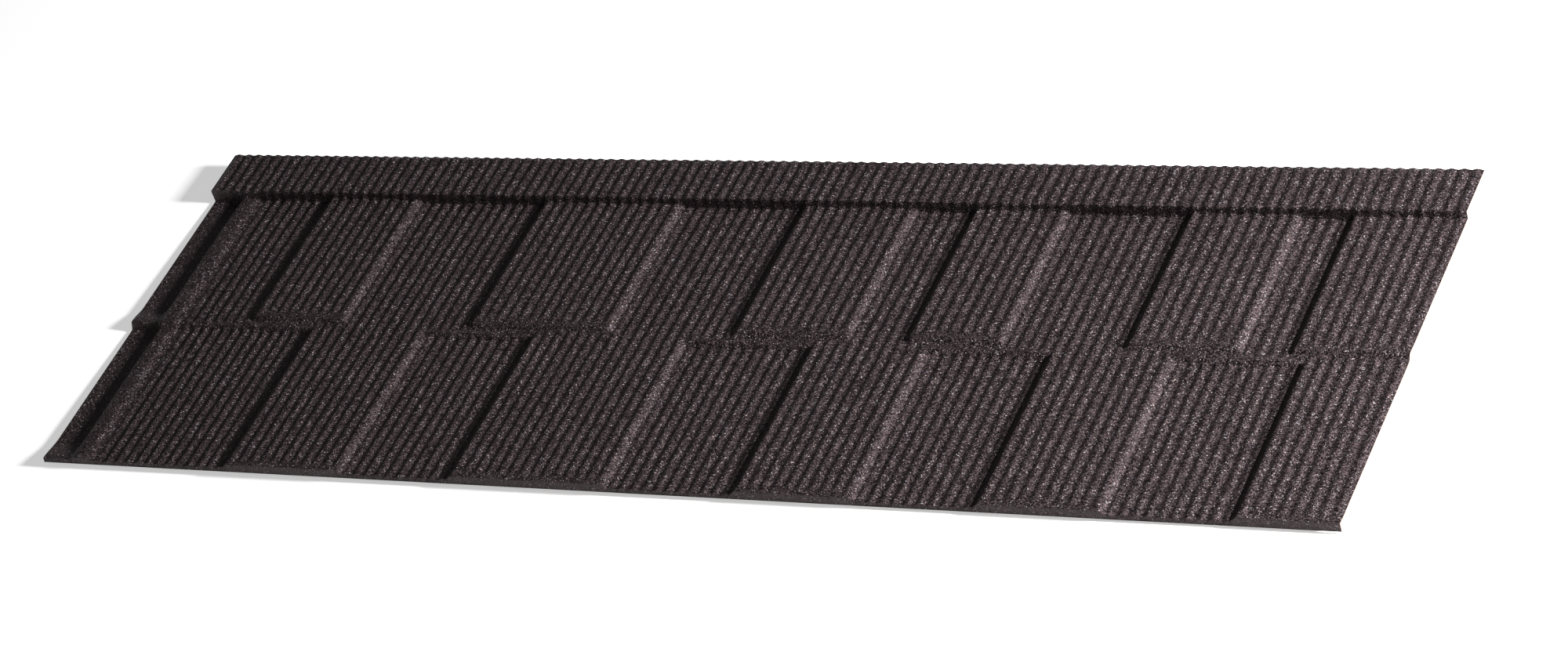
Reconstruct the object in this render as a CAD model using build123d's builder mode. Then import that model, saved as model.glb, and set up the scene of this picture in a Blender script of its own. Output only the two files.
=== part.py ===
import os
from math import atan2, degrees

from build123d import *

# Pressed steel roofing sheet that looks like two courses of tiles.
# X runs along the sheet, Y up the roof slope and Z up, from the middle of its footprint on the floor.
# It lies on the back ends of both courses, so it leans a little towards its back and its right end.

# Overall sizes
sheet_length = 1340.0
sheet_depth = 420.0
steel_thickness = 0.45
chip_coat = 0.9
sheet_thickness = steel_thickness + chip_coat

# Ribs that run up the slope and divide the length evenly
rib_count = 112
rib_depth = 1.4
rib_pitch = sheet_length / rib_count
crest_share = 0.4

# Raised tabs, each given by the rib valleys at its left and right edges
upper_tabs = [(12, 21), (33, 46), (57, 67), (72, 80), (90, 99), (103, 112)]
lower_tabs = [(18, 29), (39, 53), (64, 74), (84, 94), (104, 112)]
tab_relief = 4.0
flank_half = 0.3 * rib_pitch

# Side lap at the left end: a sunken strip, then a bead that stops driven rain
lap_ribs = 6
lap_width = 29.0
lap_recess = 3.6
bead_left_run = 9.0
bead_crest = 11.0
bead_right_run = 12.0
bead_height = 4.0

# Folds, by their distance up the slope from the nose
riser_top = 366.5
riser_run = 2.2
riser_height = 10.5
tab_front = 198.0
course_front = 187.0
step_run = 6.0
nose_run = 2.0
nose_height = 5.4
front_fade = 8.0
fold_shift = 1.1
bend_run = 0.8
bend_share = 0.1

# Levels and places worked out from the sizes above
riser_foot = riser_top - riser_run
tab_foot = tab_front - step_run
course_foot = course_front - step_run
course_slope = tab_relief / (riser_foot - course_front)
strip_end = riser_top + fold_shift + bend_run
strip_rise = course_slope * (sheet_depth - strip_end)
back_level = sheet_thickness + lap_recess
strip_level = back_level + riser_height
upper_front_level = back_level + tab_relief
lower_front_level = back_level + course_slope * (course_foot - nose_run)
nose_edge_level = lower_front_level - nose_height
upper_ribs_end = tab_front + front_fade
lower_ribs_end = nose_run + front_fade
upper_edges = sorted({edge for tab in upper_tabs for edge in tab if edge < rib_count})
lower_edges = sorted({edge for tab in lower_tabs for edge in tab if edge < rib_count})
both_edges = sorted({*upper_edges, *lower_edges})
last_low_end = lower_tabs[-1][0] * rib_pitch - flank_half
right_gap = back_level - rib_depth / 2 - sheet_thickness
right_lean = degrees(atan2(right_gap, last_low_end - lap_width))


def course_level(back, distance):
    """Height of a course between its tabs, at a distance up the slope, from where it starts at the back."""
    return back_level + course_slope * (back - distance)


def lap_points(level, recess, bead):
    """Left end of a course: the sunken strip and the bead beside it."""
    crest_left = lap_width + bead_left_run
    crest_right = crest_left + bead_crest
    return [
        (0.0, level - recess),
        (lap_width, level - recess),
        (crest_left, level + bead * 0.8),
        ((crest_left + crest_right) / 2, level + bead),
        (crest_right, level + bead * 0.8),
        (crest_right + bead_right_run, level),
    ]


def height_of(rib, level, tabs):
    """Height of one rib's stretch of the sheet, raised where it stands on a tab."""
    return level + tab_relief * any(left <= rib < right for left, right in tabs)


def strip_ribs_at(level):
    """Points along the back strip, whose ribs have flat valleys to lie on a batten."""
    points = []
    for rib in range(rib_count):
        for share, side in ((0.12, -1), (0.38, 1), (0.62, 1), (0.88, -1)):
            points.append(((rib + share) * rib_pitch, level + side * rib_depth / 2))
    return [(0.0, points[0][1]), *points, (sheet_length, points[-1][1])]


def ribbed(level, tabs):
    """Points along a course with its ribs, which leave room for the flank below each tab edge."""
    points = lap_points(level, lap_recess, bead_height)
    for rib in range(lap_ribs, rib_count):
        before, here, after = (height_of(place, level, tabs) for place in (rib - 1, rib, rib + 1))
        left = rib * rib_pitch + flank_half * (before > here)
        right = (rib + 1) * rib_pitch - flank_half * (after > here)
        side = (1 - crest_share) / 2 * (right - left)
        if before >= here:
            points.append((left, here - rib_depth / 2))
        points.append((left + side, here + rib_depth / 2))
        points.append((right - side, here + rib_depth / 2))
        if after > here:
            points.append((right, here - rib_depth / 2))
    points.append((sheet_length, height_of(rib_count - 1, level, tabs) - rib_depth / 2))
    return points


def smooth(level, tabs, edges, recess, bead):
    """Points along a fold, which has no ribs, with a flank at each of the tab edges."""
    points = lap_points(level, recess, bead)
    for edge in edges:
        points.append((edge * rib_pitch - flank_half, height_of(edge - 1, level, tabs)))
        points.append((edge * rib_pitch + flank_half, height_of(edge, level, tabs)))
    points.append((sheet_length, height_of(rib_count - 1, level, tabs)))
    return points


def moved(points, change):
    return [(x, height + change) for x, height in points]


def between(back, front, share):
    """Points part of the way from a back line to a front line."""
    return [(x, a + share * (b - a)) for (x, a), (x, b) in zip(back, front)]


def section(distance, top_points, under_points):
    """Section across the sheet at a distance up the slope."""
    outline = [
        Vector(x - sheet_length / 2, distance - sheet_depth / 2, height)
        for x, height in top_points + under_points[::-1]
    ]
    return Face(Wire.make_polygon(outline, close=True))


def even_section(distance, points):
    """Section whose under side lies straight below its top side."""
    return section(distance, points, moved(points, -sheet_thickness))


def extrude_course(back_section, back, front):
    """Run a ribbed section forward to the front of its course, rising on the way."""
    run = Vector(0, front - back, course_slope * (back - front))
    extrude(back_section, amount=run.length, dir=run.normalized(), clean=False)


# Back strip
strip_section = even_section(sheet_depth, strip_ribs_at(strip_level - strip_rise))

# Riser: its under side turns further up the slope, with a small facet inside the bend
strip_front = smooth(strip_level, [], upper_edges, 0.0, 0.0)
strip_under = moved(strip_front, -sheet_thickness)
riser_bottom = smooth(back_level, upper_tabs, upper_edges, lap_recess, bead_height)
riser_under = moved(riser_bottom, -sheet_thickness)
riser_share = fold_shift / riser_run
bend_end = riser_top + fold_shift - bend_share * riser_run
riser_sections = [
    section(strip_end, strip_front, strip_under),
    section(bend_end, strip_front, between(strip_under, riser_under, bend_share)),
    section(riser_top, strip_front, between(strip_under, riser_under, riser_share)),
    section(riser_foot + fold_shift, between(strip_front, riser_bottom, 1 - riser_share), riser_under),
    section(riser_foot, riser_bottom, riser_under),
]

# Upper course
upper_section = even_section(riser_foot, ribbed(back_level, upper_tabs))

# Step between the courses, where the lower tabs carry on from the upper course
step_levels = [
    (upper_ribs_end, course_level(riser_foot, upper_ribs_end), upper_tabs, lap_recess),
    (tab_front, course_level(riser_foot, tab_front), upper_tabs, lap_recess / 2),
    (tab_foot, course_level(riser_foot, tab_foot), [], lap_recess / 3),
    (course_front, upper_front_level, [], 0.0),
    (course_foot, back_level, lower_tabs, lap_recess),
]
step_sections = [
    even_section(distance, smooth(level, tabs, both_edges, recess, bead_height))
    for distance, level, tabs, recess in step_levels
]

# Lower course
lower_section = even_section(course_foot, ribbed(back_level, lower_tabs))

# Nose, folded down to a straight edge
nose_level = course_level(course_foot, lower_ribs_end)
nose_back = smooth(nose_level, lower_tabs, lower_edges, lap_recess, bead_height)
nose_top = smooth(lower_front_level, lower_tabs, lower_edges, 0.0, bead_height)
nose_under = moved(nose_top, -sheet_thickness)
nose_edge = smooth(nose_edge_level, [], lower_edges, 0.0, 0.0)
fold_share = fold_shift / (lower_ribs_end - nose_run)
nose_sections = [
    even_section(lower_ribs_end, nose_back),
    section(nose_run + fold_shift, between(nose_back, nose_top, 1 - fold_share), nose_under),
    section(nose_run, nose_top, nose_edge),
    section(0.0, moved(nose_edge, sheet_thickness), nose_edge),
]

with BuildPart() as roofing_sheet:
    extrude_course(strip_section, sheet_depth, strip_end)
    loft(riser_sections, ruled=True, clean=False)
    extrude_course(upper_section, riser_foot, upper_ribs_end)
    loft(step_sections, ruled=True, clean=False)
    extrude_course(lower_section, course_foot, lower_ribs_end)
    loft(nose_sections, ruled=True, clean=False)

# Lean the sheet about the edge of its lap strip, down to where its right end meets the floor
lap_line = Axis((lap_width - sheet_length / 2, 0, 0), (0, 1, 0))
lying_sheet = roofing_sheet.part.rotate(lap_line, right_lean)
lying_sheet.label = "roofing_sheet"
os.makedirs("parts", exist_ok=True)
export_step(lying_sheet, "parts/roofing_sheet.step")
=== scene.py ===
from math import radians

import bpy
import numpy as np
from bpy.props import FloatProperty, FloatVectorProperty, IntProperty, PointerProperty, StringProperty
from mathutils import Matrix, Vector


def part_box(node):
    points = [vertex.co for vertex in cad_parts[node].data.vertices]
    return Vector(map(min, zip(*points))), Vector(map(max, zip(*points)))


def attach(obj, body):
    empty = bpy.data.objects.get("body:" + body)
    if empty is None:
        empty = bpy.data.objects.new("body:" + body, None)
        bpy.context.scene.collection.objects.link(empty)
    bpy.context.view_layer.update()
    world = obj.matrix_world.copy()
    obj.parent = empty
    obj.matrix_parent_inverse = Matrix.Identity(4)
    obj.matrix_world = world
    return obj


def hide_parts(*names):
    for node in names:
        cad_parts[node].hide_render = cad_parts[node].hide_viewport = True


bl_info = {
    "name": "Tile effect roofing sheet",
    "blender": (4, 5, 0),
    "version": (1, 0, 0),
    "location": "View3D > Sidebar > Roofing",
    "description": "Stone-chip coated steel roofing sheet with courses of raised tabs",
    "category": "Add Mesh",
}

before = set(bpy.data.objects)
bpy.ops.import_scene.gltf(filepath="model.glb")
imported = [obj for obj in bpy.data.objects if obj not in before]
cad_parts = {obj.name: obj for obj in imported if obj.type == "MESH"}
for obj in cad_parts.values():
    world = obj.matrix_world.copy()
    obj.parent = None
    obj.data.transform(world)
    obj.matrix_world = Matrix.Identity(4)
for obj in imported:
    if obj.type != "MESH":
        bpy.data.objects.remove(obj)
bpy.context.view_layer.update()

NODE = "roofing_sheet"

# Raised tabs of each course, by the rib valleys at their left and right edges
UPPER_TABS = ((12, 21), (33, 46), (57, 67), (72, 80), (90, 99), (103, 112))
LOWER_TABS = ((18, 29), (39, 53), (64, 74), (84, 94), (104, 112))


class SheetSizes(bpy.types.PropertyGroup):
    """Sizes of the pressed sheet, in metres, with distances up the slope from the nose."""

    ribs: IntProperty(name="Ribs", description="Ribs along the sheet", default=112)
    rib_depth: FloatProperty(
        name="Rib depth", description="From valley to crest", default=0.0014, unit="LENGTH")
    thickness: FloatProperty(
        name="Thickness", description="Steel and its stone coat", default=0.00135, unit="LENGTH")
    tab_relief: FloatProperty(
        name="Tab relief", description="Height of a tab above the course", default=0.004, unit="LENGTH")
    flank_run: FloatProperty(
        name="Flank run", description="Width of a tab's sloping side", default=0.0076, unit="LENGTH")
    lap_width: FloatProperty(
        name="Lap width", description="Width of the sunken strip", default=0.029, unit="LENGTH")
    lap_recess: FloatProperty(
        name="Lap recess", description="Depth of the sunken strip", default=0.0036, unit="LENGTH")
    lap_flank: FloatProperty(
        name="Lap flank", description="Width of the slope to the bead", default=0.010, unit="LENGTH")
    edge_lift: FloatProperty(
        name="Edge lift", description="Upturn of the lap's free edge", default=0.0008, unit="LENGTH")
    edge_lift_run: FloatProperty(
        name="Edge lift run", description="Width of the upturn", default=0.018, unit="LENGTH")
    bead_height: FloatProperty(
        name="Bead height", description="Height of the bead", default=0.0028, unit="LENGTH")
    bead_crest_end: FloatProperty(
        name="Bead crest end", description="From strip to crest's end", default=0.021, unit="LENGTH")
    bead_foot: FloatProperty(
        name="Bead foot", description="From strip to bead's far foot", default=0.031, unit="LENGTH")
    rib_start: FloatProperty(
        name="Rib start", description="Stretch where ribs rise", default=0.008, unit="LENGTH")
    riser_top: FloatProperty(
        name="Riser top", description="Front of the back strip", default=0.3665, unit="LENGTH")
    riser_run: FloatProperty(
        name="Riser run", description="Depth of the riser up the slope", default=0.0022, unit="LENGTH")
    riser_height: FloatProperty(
        name="Riser height", description="Drop from the back strip", default=0.0105, unit="LENGTH")
    strip_bend: FloatProperty(
        name="Strip bend", description="Level stretch behind the riser", default=0.0019, unit="LENGTH")
    tab_front: FloatProperty(
        name="Tab front", description="Front edge of the upper tabs", default=0.198, unit="LENGTH")
    course_front: FloatProperty(
        name="Course front", description="Front edge of the upper course", default=0.187, unit="LENGTH")
    step_run: FloatProperty(
        name="Step run", description="Depth of the step up the slope", default=0.006, unit="LENGTH")
    nose_run: FloatProperty(
        name="Nose run", description="Depth of the nose up the slope", default=0.002, unit="LENGTH")
    nose_height: FloatProperty(
        name="Nose height", description="Drop of the nose between tabs", default=0.0054, unit="LENGTH")
    front_fade: FloatProperty(
        name="Front fade", description="Smooth stretch by a tab's front", default=0.010, unit="LENGTH")
    nose_smooth: FloatProperty(
        name="Nose smooth", description="Ribless stretch at the nose", default=0.002, unit="LENGTH")
    ledge_rise: FloatProperty(
        name="Ledge rise", description="Stretch where ribs start", default=0.005, unit="LENGTH")
    step_flare: FloatProperty(
        name="Step flare", description="Where the lap rises to the step", default=0.012, unit="LENGTH")
    nose_flare: FloatProperty(
        name="Nose flare", description="Where the lap rises to the nose", default=0.030, unit="LENGTH")
    columns_a_rib: IntProperty(
        name="Columns a rib", description="Mesh columns to each rib", default=8)


class CoatLook(bpy.types.PropertyGroup):
    """Colours and grain of the stone coat, the cut edges and the back."""

    dark_chip: StringProperty(name="Dark chip", description="sRGB hex", default="#0b0809")
    light_chip: StringProperty(name="Light chip", description="sRGB hex", default="#322a2c")
    # The bright chips stand for lighter stones and also for painted glints
    warm_bright_chip_and_glint: StringProperty(name="Warm bright chip", description="sRGB hex", default="#877973")
    cool_bright_chip_and_glint: StringProperty(name="Cool bright chip", description="sRGB hex", default="#73777e")
    gloss: StringProperty(name="Chip gloss", description="sRGB hex", default="#ffe2e6")
    edge: StringProperty(name="Cut edge", description="sRGB hex", default="#553f2e")
    primer: StringProperty(name="Primer", description="sRGB hex", default="#55575a")
    chip_size: FloatProperty(
        name="Chip size", description="Typical stone chip", default=0.0009, unit="LENGTH")
    chip_tilt: FloatProperty(
        name="Chip tilt", description="How far the chips turn from the surface", default=0.85)
    dark_share: FloatProperty(
        name="Dark share", description="Share of the chips that are fully dark", default=0.25)
    bright_from: FloatProperty(
        name="Bright from", description="Share of the chips that are not bright", default=0.955)
    bright_full: FloatProperty(
        name="Bright full", description="Share beyond which chips are fully bright", default=0.975)
    roughness: FloatProperty(name="Roughness", description="Of the chips' faces", default=0.5)
    gloss_level: FloatProperty(
        name="Gloss level", description="Strength of the chips' gloss", default=0.45)
    relief_share: FloatProperty(
        name="Relief share", description="Height of the chips to their size", default=0.45)
    fine_grain: FloatProperty(
        name="Fine grain", description="How much finer the chips' rough faces are", default=1.6)


class StageLook(bpy.types.PropertyGroup):
    """Camera, floor and lights."""

    camera_at: FloatVectorProperty(
        name="Camera", description="Camera place",
        default=(2.1625, -2.5282, 2.6007), subtype="TRANSLATION")
    camera_turn: FloatVectorProperty(
        name="Camera turn", description="Camera rotation, XYZ",
        default=(radians(48.754), radians(19.789), radians(23.285)), subtype="EULER")
    lens: FloatProperty(name="Lens", description="Focal length in mm", default=106.40)
    floor_half: FloatProperty(
        name="Floor", description="Half width of the floor", default=12.0, unit="LENGTH")
    floor_colour: StringProperty(name="Floor colour", description="sRGB hex", default="#f4f4f4")
    floor_glow: FloatProperty(name="Floor glow", description="Light from the floor itself", default=0.5)
    sky: FloatProperty(name="Sky", description="Strength of the even light all round", default=0.09)


def linear(code):
    """Linear colour of an sRGB hex code."""
    parts = [int(code[i:i + 2], 16) / 255 for i in (1, 3, 5)]
    return tuple(c / 12.92 if c <= 0.04045 else ((c + 0.055) / 1.055) ** 2.4 for c in parts) + (1.0,)


def smooth_step(value, low, high):
    """0 below low, 1 above high, with a soft S curve between."""
    share = np.clip((value - low) / (high - low), 0.0, 1.0)
    return share * share * (3 - 2 * share)


# Shape of the sheet

def tabs_share(x, tabs, pitch, flank_run):
    """1 on the raised tabs, 0 between them, with a flank at each edge."""
    share = np.zeros_like(x)
    for left, right in tabs:
        rise = smooth_step(x, left * pitch - flank_run / 2, left * pitch + flank_run / 2)
        fall = smooth_step(x, right * pitch - flank_run / 2, right * pitch + flank_run / 2)
        if right * pitch > x.max() - pitch / 2:
            fall = np.zeros_like(x)
        share = np.maximum(share, rise * (1 - fall))
    return share


def sheet_heights(sizes, x, y, length, base):
    """Height of the weather side at each x from the left end and y from the nose."""
    pitch = length / sizes.ribs
    riser_foot = sizes.riser_top - sizes.riser_run
    course_foot = sizes.course_front - sizes.step_run
    tab_foot = sizes.tab_front - sizes.step_run
    back = base + sizes.thickness + sizes.lap_recess
    slope = sizes.tab_relief / (riser_foot - sizes.course_front)
    strip = back + sizes.riser_height + slope * (sizes.riser_top + sizes.strip_bend - y)
    upper_tab = tabs_share(x, UPPER_TABS, pitch, sizes.flank_run)
    lower_tab = tabs_share(x, LOWER_TABS, pitch, sizes.flank_run)

    upper = back + slope * (riser_foot - y)
    lower = back + slope * (course_foot - y)
    ribs = np.cos(2 * np.pi * (x / pitch - 0.5)) * sizes.rib_depth / 2

    # The ribs fade away on the flanks of the tabs
    upper_plain = 1 - 4 * upper_tab * (1 - upper_tab)
    lower_plain = 1 - 4 * lower_tab * (1 - lower_tab)

    # The sunken lap strip flares up to meet the front of each course
    lap_foot = smooth_step(x, sizes.lap_width, sizes.lap_width + sizes.lap_flank)
    crest_end = sizes.lap_width + sizes.bead_crest_end
    bead_right = sizes.lap_width + sizes.bead_foot
    bead = sizes.bead_height * lap_foot * (1 - smooth_step(x, crest_end, bead_right))
    ribbed = smooth_step(x, bead_right, bead_right + sizes.rib_start)
    upper_flare = smooth_step(-y, -sizes.tab_front - sizes.step_flare, -sizes.course_front)
    lower_flare = smooth_step(-y, -sizes.nose_flare, -sizes.nose_run)
    edge_lift = sizes.edge_lift * (1 - smooth_step(x, 0.0, sizes.edge_lift_run))
    drop = sizes.lap_recess * (1 - lap_foot) - edge_lift
    upper_lap = bead - drop * (1 - upper_flare)
    lower_lap = bead - drop * (1 - lower_flare)

    # Upper course, whose tabs end in a step of their own
    tab_end = smooth_step(y, tab_foot, sizes.tab_front)
    upper_fade_end = sizes.tab_front + sizes.front_fade
    upper_fade = 1 - upper_tab * (1 - smooth_step(y, sizes.tab_front, upper_fade_end))
    ledge = upper_tab * (1 - lower_tab) * (1 - tab_end)
    upper_ribs = ribs * ribbed * upper_plain * np.where(y > tab_foot, upper_fade, 1 - ledge)
    ledge_end = sizes.course_front + sizes.ledge_rise
    carry = np.maximum(lower_tab, smooth_step(y, sizes.course_front, ledge_end))
    upper_top = upper + sizes.tab_relief * upper_tab * tab_end + upper_lap + upper_ribs * carry

    # Lower course, whose tabs carry on from the upper course
    lower_fade_start = sizes.nose_run + sizes.nose_smooth
    lower_fade_end = sizes.nose_run + sizes.front_fade
    lower_fade = 1 - lower_tab * (1 - smooth_step(y, lower_fade_start, lower_fade_end))
    lower_ribs = ribs * ribbed * lower_plain * lower_fade
    lower_top = lower + sizes.tab_relief * lower_tab + lower_lap + lower_ribs

    step = smooth_step(y, course_foot, sizes.course_front)
    top = lower_top * (1 - step) + upper_top * step

    # Nose and riser
    nose_edge = back + slope * (course_foot - sizes.nose_run) - sizes.nose_height + sizes.thickness
    nose = smooth_step(y, 0.0, sizes.nose_run)
    top = nose_edge * (1 - nose) + top * nose
    riser = smooth_step(y, riser_foot, sizes.riser_top)
    top = top * (1 - riser) + (strip + ribs) * riser

    # The sheet lies on the back ends of its courses, which lets its right end lean down
    last_low = LOWER_TABS[-1][0] * pitch - sizes.flank_run / 2
    lean = (sizes.lap_recess - sizes.rib_depth / 2) / (last_low - sizes.lap_width)
    return top - lean * (x - sizes.lap_width)


def row_places(sizes, depth):
    """Distances up the slope for the mesh rows, close together at the folds."""
    riser_foot = sizes.riser_top - sizes.riser_run
    course_foot = sizes.course_front - sizes.step_run
    tab_foot = sizes.tab_front - sizes.step_run
    stretches = [
        (0.0, sizes.nose_run, 5),
        (sizes.nose_run, sizes.nose_run + sizes.front_fade, 5),
        (sizes.nose_run + sizes.front_fade, sizes.nose_flare, 3),
        (sizes.nose_flare, course_foot, 4),
        (course_foot, sizes.course_front, 5),
        (sizes.course_front, tab_foot, 3),
        (tab_foot, sizes.tab_front, 5),
        (sizes.tab_front, sizes.tab_front + sizes.front_fade, 4),
        (sizes.tab_front + sizes.front_fade, riser_foot, 4),
        (riser_foot, sizes.riser_top, 5),
        (sizes.riser_top, depth, 3),
    ]
    rows = []
    for low, high, steps in stretches:
        rows.extend(np.linspace(low, high, steps, endpoint=False))
    return np.array(rows + [depth])


# Materials

def add_node(tree, kind, values=None, settings=None):
    """Adds a shader node, sets its options and links or fills its inputs."""
    node = tree.nodes.new(kind)
    for name, value in (settings or {}).items():
        setattr(node, name, value)
    for name, value in (values or {}).items():
        if isinstance(value, bpy.types.NodeSocket):
            tree.links.new(value, node.inputs[name])
        else:
            node.inputs[name].default_value = value
    return node


def new_material(name):
    """Empty material with its principled shader."""
    material = bpy.data.materials.new(name)
    material.use_nodes = True
    return material, material.node_tree.nodes["Principled BSDF"]


def colour_mix(tree, share, low, high):
    """Mix of two colours, each a socket or a constant."""
    mix = add_node(tree, "ShaderNodeMix", settings={"data_type": "RGBA"})
    for index, value in ((0, share), (6, low), (7, high)):
        if isinstance(value, bpy.types.NodeSocket):
            tree.links.new(value, mix.inputs[index])
        else:
            mix.inputs[index].default_value = value
    return mix.outputs[2]


def stone_chip_coat(look):
    """Crushed stone in a dark binder: grains with a soft sheen, each with its own tone and tilt."""
    material, shader = new_material("stone_chip_coat")
    tree = material.node_tree
    place = add_node(tree, "ShaderNodeTexCoord").outputs["Object"]
    grain_scale = 1.0 / look.chip_size

    # Each chip is one cell: its random colour picks the tone, and a few chips are much brighter, partly
    # as lighter stones and partly as painted glints of the glossy chips
    chips = add_node(tree, "ShaderNodeTexVoronoi", {"Vector": place, "Scale": grain_scale})
    tone = add_node(tree, "ShaderNodeSeparateColor", {"Color": chips.outputs["Color"]})
    chip_tone = add_node(
        tree, "ShaderNodeMapRange",
        {"Value": tone.outputs["Red"], "From Min": look.dark_share, "From Max": 1.0})
    body = colour_mix(tree, chip_tone.outputs["Result"], linear(look.dark_chip), linear(look.light_chip))
    bright_chip_and_glint_share = add_node(
        tree, "ShaderNodeMapRange",
        {"Value": tone.outputs["Green"], "From Min": look.bright_from, "From Max": look.bright_full})
    bright = colour_mix(tree, tone.outputs["Blue"], linear(look.warm_bright_chip_and_glint), linear(look.cool_bright_chip_and_glint))
    body = colour_mix(tree, bright_chip_and_glint_share.outputs["Result"], body, bright)
    tree.links.new(body, shader.inputs["Base Color"])

    # Each chip is bedded at its own tilt, and stands proud of the binder
    centred = add_node(
        tree, "ShaderNodeVectorMath",
        {0: chips.outputs["Color"], 1: (0.5, 0.5, 0.5)}, {"operation": "SUBTRACT"})
    tilt = add_node(
        tree, "ShaderNodeVectorMath",
        {0: centred.outputs["Vector"], "Scale": look.chip_tilt}, {"operation": "SCALE"})
    fine_scale = grain_scale * look.fine_grain
    fine = add_node(
        tree, "ShaderNodeTexNoise", {"Vector": place, "Scale": fine_scale, "Detail": 3.0})
    stand = add_node(
        tree, "ShaderNodeMath",
        {0: fine.outputs["Fac"], 1: chips.outputs["Distance"]}, {"operation": "SUBTRACT"})
    relief = look.chip_size * look.relief_share
    bump = add_node(
        tree, "ShaderNodeBump", {"Height": stand.outputs["Value"], "Strength": 0.9, "Distance": relief})
    turned = add_node(
        tree, "ShaderNodeVectorMath",
        {0: bump.outputs["Normal"], 1: tilt.outputs["Vector"]}, {"operation": "ADD"})
    normal = add_node(
        tree, "ShaderNodeVectorMath", {0: turned.outputs["Vector"]}, {"operation": "NORMALIZE"})
    tree.links.new(normal.outputs["Vector"], shader.inputs["Normal"])
    shader.inputs["Roughness"].default_value = look.roughness
    shader.inputs["Specular IOR Level"].default_value = look.gloss_level
    shader.inputs["Specular Tint"].default_value = linear(look.gloss)
    return material


def plain_material(name, colour, roughness, metallic=0.0):
    """One even colour, for primer, cut metal or the floor's paper."""
    material, shader = new_material(name)
    shader.inputs["Base Color"].default_value = linear(colour)
    shader.inputs["Roughness"].default_value = roughness
    shader.inputs["Metallic"].default_value = metallic
    return material


# Operators

class ROOF_OT_sheet(bpy.types.Operator):
    """Make the pressed sheet from a grid, give it thickness and lay its materials"""

    bl_idname = "roof.sheet"
    bl_label = "Roofing sheet"

    def execute(self, context):
        sizes = context.scene.roof_sizes
        look = context.scene.roof_coat
        low, high = (Vector(corner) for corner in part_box(NODE))
        length, depth = high.x - low.x, high.y - low.y
        rows = row_places(sizes, depth)
        columns = sizes.ribs * sizes.columns_a_rib

        bpy.ops.object.select_all(action="DESELECT")
        bpy.ops.mesh.primitive_grid_add(x_subdivisions=columns, y_subdivisions=len(rows) - 1, size=1.0)
        sheet = context.object
        sheet.name = "chip_coated_sheet"
        mesh = sheet.data

        # Rows and columns of the grid move to their places on the pressed sheet
        points = np.empty(len(mesh.vertices) * 3)
        mesh.vertices.foreach_get("co", points)
        points = points.reshape(-1, 3)
        x = (points[:, 0] + 0.5) * length
        row = np.rint((points[:, 1] + 0.5) * (len(rows) - 1)).astype(int)
        y = rows[row]
        z = sheet_heights(sizes, x, y, length, low.z)
        points[:, 0] = x + low.x
        points[:, 1] = y + low.y
        points[:, 2] = z
        mesh.vertices.foreach_set("co", points.ravel())
        mesh.update()

        # The weather side is coated, the back is an even grey primer and the cut edges are brown
        mesh.materials.append(stone_chip_coat(look))
        mesh.materials.append(plain_material("primer_back", look.primer, roughness=0.5))
        mesh.materials.append(plain_material("cut_edge", look.edge, roughness=0.45, metallic=0.3))
        solid = sheet.modifiers.new("thickness", "SOLIDIFY")
        solid.thickness = sizes.thickness
        solid.offset = -1.0
        solid.use_even_offset = False
        solid.material_offset = 1
        solid.material_offset_rim = 2
        bpy.ops.object.modifier_apply(modifier=solid.name)
        bpy.ops.object.shade_smooth_by_angle(angle=radians(50))

        # The solidify step may push an edge past the frame's box by a hair
        inside = np.empty(len(mesh.vertices) * 3)
        mesh.vertices.foreach_get("co", inside)
        inside = np.clip(inside.reshape(-1, 3), np.array(low), np.array(high))
        mesh.vertices.foreach_set("co", inside.ravel())
        mesh.update()

        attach(sheet, "root")
        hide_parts(NODE)
        return {"FINISHED"}


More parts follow.
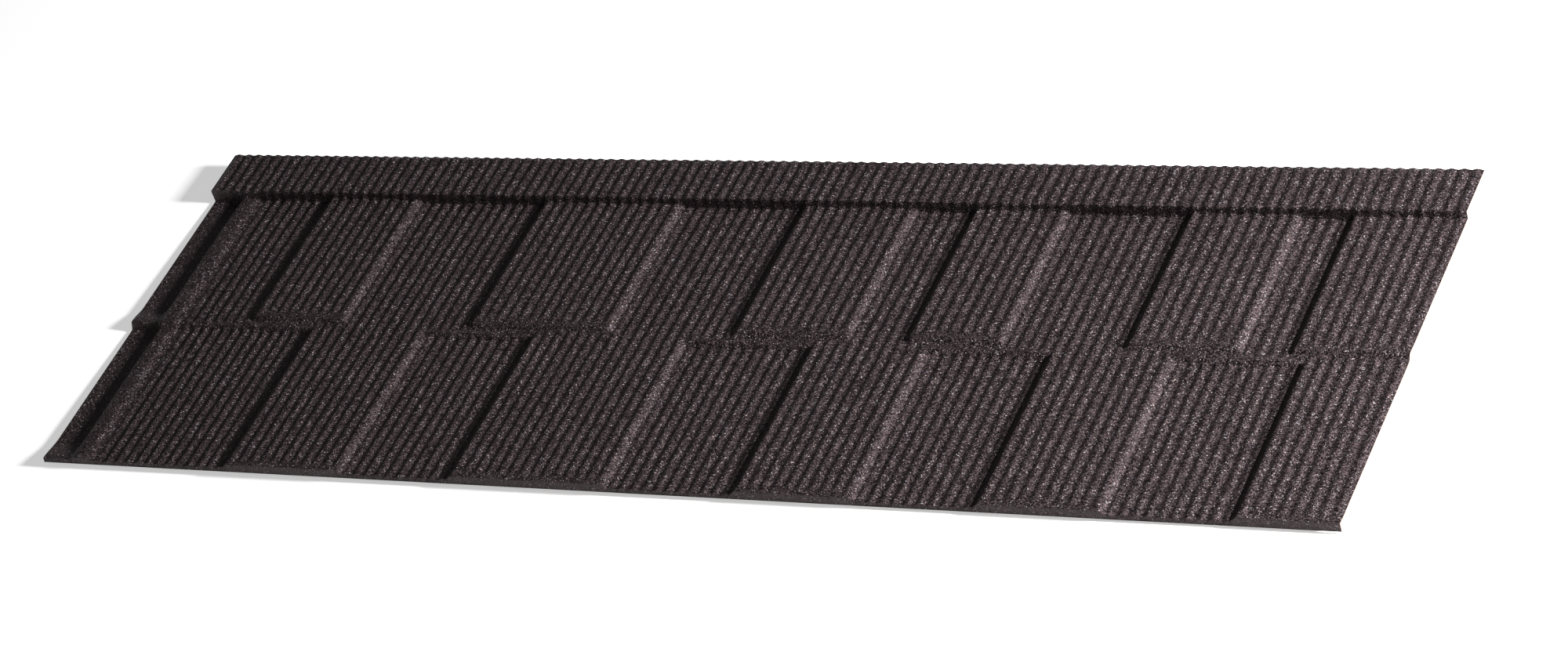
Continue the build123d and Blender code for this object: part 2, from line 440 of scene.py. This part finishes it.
class ROOF_OT_stage(bpy.types.Operator):
    """Set the floor, the soft studio lights and the camera"""

    bl_idname = "roof.stage"
    bl_label = "Stage"

    def execute(self, context):
        look = context.scene.roof_stage
        bpy.ops.object.select_all(action="DESELECT")
        bpy.ops.mesh.primitive_plane_add(size=2 * look.floor_half, location=(0, 0, 0))
        floor = context.object
        floor.name = "floor"
        paper = plain_material("floor_paper", look.floor_colour, roughness=0.9)
        paper_shader = paper.node_tree.nodes["Principled BSDF"]
        paper_shader.inputs["Emission Color"].default_value = linear(look.floor_colour)
        paper_shader.inputs["Emission Strength"].default_value = look.floor_glow
        floor.data.materials.append(paper)

        # The key stands low at the right and a little behind, so ribs and flanks catch it from the side
        lights = [
            ("key", (2.65, 0.24, 0.88), 0.42, 305.0),
            ("fill", (-1.6, -2.6, 3.2), 3.0, 8.0),
            ("top", (0.3, 1.6, 3.6), 3.0, 2.0),
        ]
        for name, place, size, power in lights:
            bpy.ops.object.light_add(type="AREA", location=place)
            lamp = context.object
            lamp.name = name
            lamp.data.size = size
            lamp.data.energy = power
            lamp.rotation_euler = (-Vector(place)).to_track_quat("-Z", "Y").to_euler()

        world = bpy.data.worlds.new("studio")
        world.use_nodes = True
        context.scene.world = world
        background = world.node_tree.nodes["Background"]
        background.inputs["Color"].default_value = (1, 1, 1, 1)
        background.inputs["Strength"].default_value = look.sky

        bpy.ops.object.camera_add(location=look.camera_at, rotation=look.camera_turn)
        camera = context.object
        camera.name = "camera"
        camera.data.lens = look.lens
        camera.data.sensor_width = 36.0
        camera.data.clip_start = 0.05
        camera.data.clip_end = 60.0
        context.scene.camera = camera
        context.scene.view_settings.view_transform = "Standard"
        return {"FINISHED"}


class ROOF_PT_panel(bpy.types.Panel):
    """Sizes, colours and buttons of the roofing sheet"""

    bl_idname = "ROOF_PT_panel"
    bl_label = "Roofing sheet"
    bl_space_type = "VIEW_3D"
    bl_region_type = "UI"
    bl_category = "Roofing"

    def draw(self, context):
        layout = self.layout
        for group in (context.scene.roof_sizes, context.scene.roof_coat, context.scene.roof_stage):
            for name in group.__annotations__:
                layout.prop(group, name)
        layout.operator("roof.sheet")
        layout.operator("roof.stage")


CLASSES = (SheetSizes, CoatLook, StageLook, ROOF_OT_sheet, ROOF_OT_stage, ROOF_PT_panel)


def register():
    for cls in CLASSES:
        bpy.utils.register_class(cls)
    bpy.types.Scene.roof_sizes = PointerProperty(type=SheetSizes)
    bpy.types.Scene.roof_coat = PointerProperty(type=CoatLook)
    bpy.types.Scene.roof_stage = PointerProperty(type=StageLook)


def unregister():
    del bpy.types.Scene.roof_stage
    del bpy.types.Scene.roof_coat
    del bpy.types.Scene.roof_sizes
    for cls in reversed(CLASSES):
        bpy.utils.unregister_class(cls)


def main():
    """Make the sheet and its stage."""
    register()
    bpy.ops.roof.sheet()
    bpy.ops.roof.stage()


if __name__ == "__main__":
    main()
